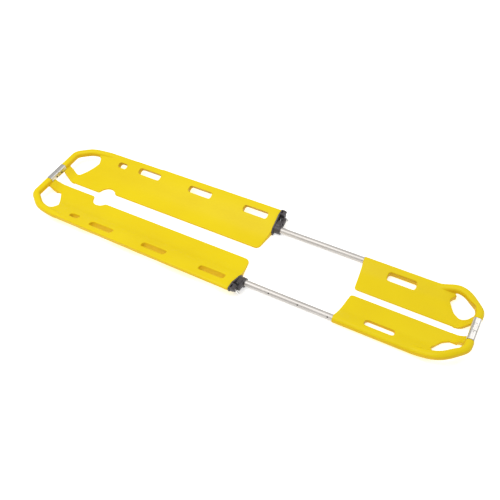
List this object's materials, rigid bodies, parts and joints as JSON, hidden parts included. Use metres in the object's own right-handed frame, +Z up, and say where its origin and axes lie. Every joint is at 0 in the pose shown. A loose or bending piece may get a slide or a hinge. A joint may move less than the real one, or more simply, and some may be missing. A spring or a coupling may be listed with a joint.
{
  "type": "folding stretcher",
  "caption": "Folding scoop stretcher with two separable dished halves, telescopic fold-over foot sections and end couplings.",
  "frame": {"origin": "centre of the bounding box on the surface that the blades rest on", "axes": "+X along the stretcher from the head end to the foot end, +Y to the left half, +Z up"},
  "size_m": [2.01, 0.4716, 0.0681],
  "materials": {
    "blade_plastic": "saturated yellow polyethylene, fine moulded texture",
    "housing_plastic": "dark grey glass-filled nylon",
    "bushing_plastic": "pale self-lubricating bushing plastic",
    "tube_aluminium": "satin anodised",
    "coupling_aluminium": "tumbled casting",
    "steel": "turned stainless steel",
    "dark_steel": "black oxide",
    "rivet_steel": "set rivet heads",
    "lever_steel": "plated",
    "knob_plastic": "black moulded",
    "button_plastic": "black moulded"
  },
  "bodies": {
    "torso_left": {"torso_blade_left": "blade_plastic", "hinge_bracket_left": "housing_plastic", "bracket_screws_left": "dark_steel", "hinge_pin_left": "dark_steel", "guide_sleeve_left": "bushing_plastic", "head_rivet_left": "rivet_steel", "head_socket": "coupling_aluminium"},
    "block_left": {"pivot_block_left": "housing_plastic", "lever_pivot_left": "steel"},
    "foot_left": {"foot_blade_left": "blade_plastic", "extension_tube_left": "tube_aluminium", "tube_tail_plug_left": "housing_plastic", "tube_rivets_left": "rivet_steel", "foot_rivet_left": "rivet_steel", "foot_socket": "coupling_aluminium"},
    "lever_left": {"lock_lever_left": "lever_steel"},
    "index_left": {"index_pin_left": "steel", "index_knob_left": "knob_plastic"},
    "head_button_left": {"head_button_left": "button_plastic"},
    "torso_right": {"torso_blade_right": "blade_plastic", "hinge_bracket_right": "housing_plastic", "bracket_screws_right": "dark_steel", "hinge_pin_right": "dark_steel", "guide_sleeve_right": "bushing_plastic", "head_rivet_right": "rivet_steel", "head_plug": "coupling_aluminium", "head_shaft": "steel"},
    "block_right": {"pivot_block_right": "housing_plastic", "lever_pivot_right": "steel"},
    "foot_right": {"foot_blade_right": "blade_plastic", "extension_tube_right": "tube_aluminium", "tube_tail_plug_right": "housing_plastic", "tube_rivets_right": "rivet_steel", "foot_rivet_right": "rivet_steel", "foot_plug": "coupling_aluminium", "foot_shaft": "steel", "foot_cross_pin": "steel"},
    "lever_right": {"lock_lever_right": "lever_steel"},
    "index_right": {"index_pin_right": "steel", "index_knob_right": "knob_plastic"},
    "head_button_right": {"head_button_right": "button_plastic"},
    "foot_button": {"foot_button": "coupling_aluminium"}
  },
  "joints": [
    {"name": "half_separation", "type": "slide", "parent": "torso_right", "child": "torso_left", "axis": [0, 1, 0], "range_m": [0, 0.3]},
    {"name": "fold_left", "type": "hinge", "parent": "torso_left", "child": "block_left", "pos_m": [0.098, 0.2185, 0.056], "axis": [0, -1, 0], "range_deg": [0, 180]},
    {"name": "extend_left", "type": "slide", "parent": "block_left", "child": "foot_left", "axis": [1, 0, 0], "range_m": [-0.381, 0]},
    {"name": "lever_left", "type": "hinge", "parent": "block_left", "child": "lever_left", "pos_m": [0.103, 0.2155, 0.0385], "axis": [0, -1, 0], "range_deg": [0, 50]},
    {"name": "index_left", "type": "slide", "parent": "block_left", "child": "index_left", "axis": [0, 0.788, 0.6157], "range_m": [-0.004, 0]},
    {"name": "head_button_left", "type": "slide", "parent": "torso_left", "child": "head_button_left", "axis": [-1, 0, 0], "range_m": [0, 0.003], "stiffness_N_per_m": 500, "springref_m": -0.002},
    {"name": "fold_right", "type": "hinge", "parent": "torso_right", "child": "block_right", "pos_m": [0.098, -0.2185, 0.056], "axis": [0, -1, 0], "range_deg": [0, 180]},
    {"name": "extend_right", "type": "slide", "parent": "block_right", "child": "foot_right", "axis": [1, 0, 0], "range_m": [-0.381, 0]},
    {"name": "lever_right", "type": "hinge", "parent": "block_right", "child": "lever_right", "pos_m": [0.103, -0.2155, 0.0385], "axis": [0, -1, 0], "range_deg": [0, 50]},
    {"name": "index_right", "type": "slide", "parent": "block_right", "child": "index_right", "axis": [0, -0.788, 0.6157], "range_m": [-0.004, 0]},
    {"name": "head_button_right", "type": "slide", "parent": "torso_right", "child": "head_button_right", "axis": [-1, 0, 0], "range_m": [0, 0.003], "stiffness_N_per_m": 500, "springref_m": -0.002},
    {"name": "foot_button", "type": "slide", "parent": "foot_left", "child": "foot_button", "axis": [0, 0, -1], "range_m": [0, 0.0025], "stiffness_N_per_m": 500, "springref_m": -0.002}
  ],
  "couplings": [
    {"joint": "fold_left", "follows": "fold_right", "ratio": 1},
    {"joint": "extend_left", "follows": "extend_right", "ratio": 1}
  ]
}
